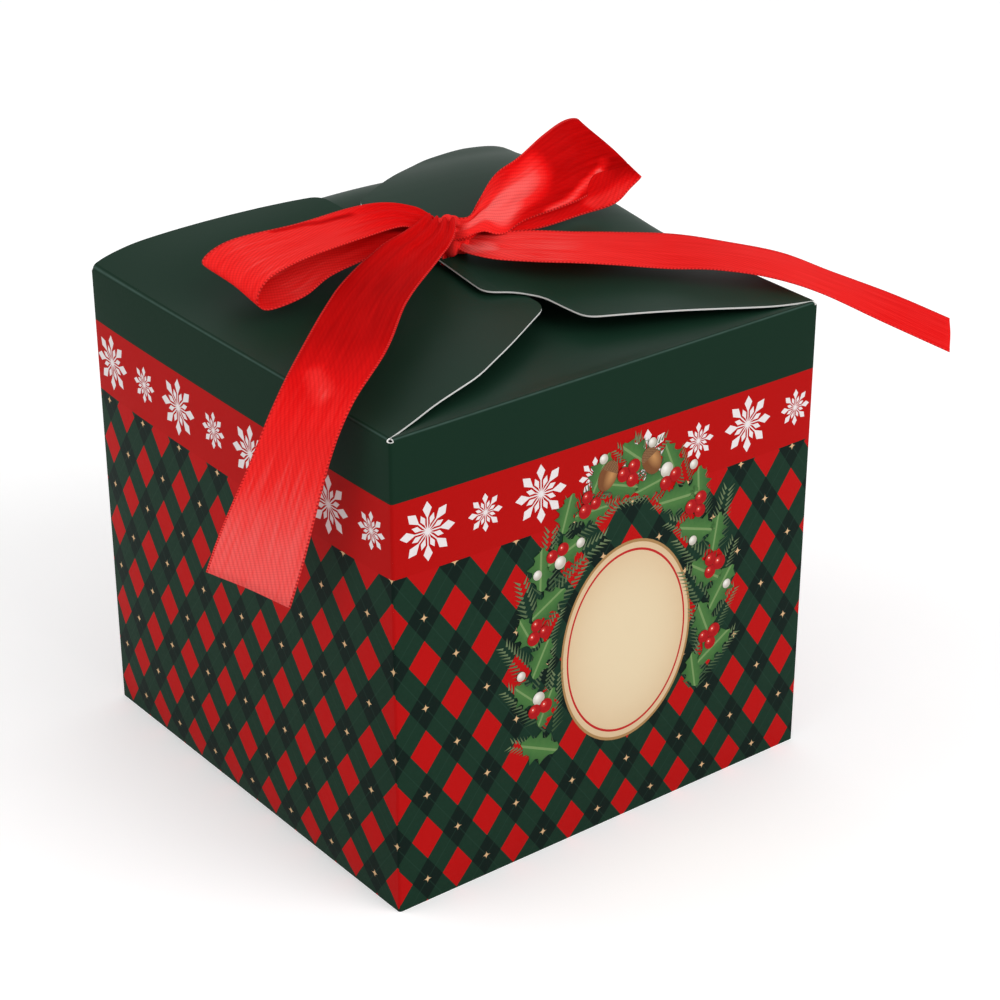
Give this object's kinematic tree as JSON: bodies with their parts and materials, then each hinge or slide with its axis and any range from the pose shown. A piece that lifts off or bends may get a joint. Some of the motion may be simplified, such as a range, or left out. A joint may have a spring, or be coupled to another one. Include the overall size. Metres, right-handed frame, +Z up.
{
  "type": "petal-top gift box",
  "caption": "Square cardboard gift box with four overlapping curved petal flaps, tied shut with a satin ribbon bow.",
  "frame": {"origin": "centre of the base, on the underside of the outer bottom flap", "axes": "+Z up, -Y out of the wall with the picture, +X to the right when that wall is seen from outside"},
  "size_m": [0.2252, 0.1746, 0.1802],
  "materials": {
    "printed_card": "satin print",
    "green_card": "satin print",
    "white_board": "uncoated",
    "satin_ribbon": "satin"
  },
  "bodies": {
    "carton": {"wall_front": "printed_card", "wall_left": "printed_card", "wall_back": "printed_card", "wall_right": "printed_card", "glue_tab": "white_board", "bottom_flap_outer": "white_board", "bottom_flap_left": "white_board", "bottom_flap_right": "white_board", "bottom_flap_inner": "white_board"},
    "front_petal": {"petal_front": "green_card"},
    "left_petal": {"petal_left": "green_card"},
    "right_petal": {"petal_right": "green_card"},
    "back_petal": {"petal_back": "green_card"},
    "bow": {"ribbon_underpass": "satin_ribbon", "ribbon_knot": "satin_ribbon", "ribbon_loop_left": "satin_ribbon", "ribbon_loop_right": "satin_ribbon", "ribbon_tail_left": "satin_ribbon", "ribbon_tail_right": "satin_ribbon"}
  },
  "joints": [
    {"name": "ribbon_lift", "type": "slide", "parent": "carton", "child": "bow", "axis": [0, 0, 1], "range_m": [0, 0.42], "deforming": ["ribbon_underpass"]},
    {"name": "right_petal_fold", "type": "hinge", "parent": "carton", "child": "right_petal", "pos_m": [0.075, 0, 0.146], "axis": [0, 1, 0], "range_deg": [0, 190]},
    {"name": "left_petal_fold", "type": "hinge", "parent": "carton", "child": "left_petal", "pos_m": [-0.075, 0, 0.146], "axis": [0, -1, 0], "range_deg": [0, 180]},
    {"name": "front_petal_fold", "type": "hinge", "parent": "carton", "child": "front_petal", "pos_m": [0, -0.075, 0.146], "axis": [1, 0, 0], "range_deg": [0, 80]},
    {"name": "back_petal_fold", "type": "hinge", "parent": "carton", "child": "back_petal", "pos_m": [0, 0.075, 0.146], "axis": [-1, 0, 0], "range_deg": [0, 80]}
  ],
  "couplings": [
    {"joint": "right_petal_fold", "follows": "ribbon_lift", "rad_per_m": 7.895},
    {"joint": "left_petal_fold", "follows": "ribbon_lift", "rad_per_m": 7.479},
    {"joint": "front_petal_fold", "follows": "ribbon_lift", "rad_per_m": 3.324},
    {"joint": "back_petal_fold", "follows": "ribbon_lift", "rad_per_m": 3.324}
  ]
}
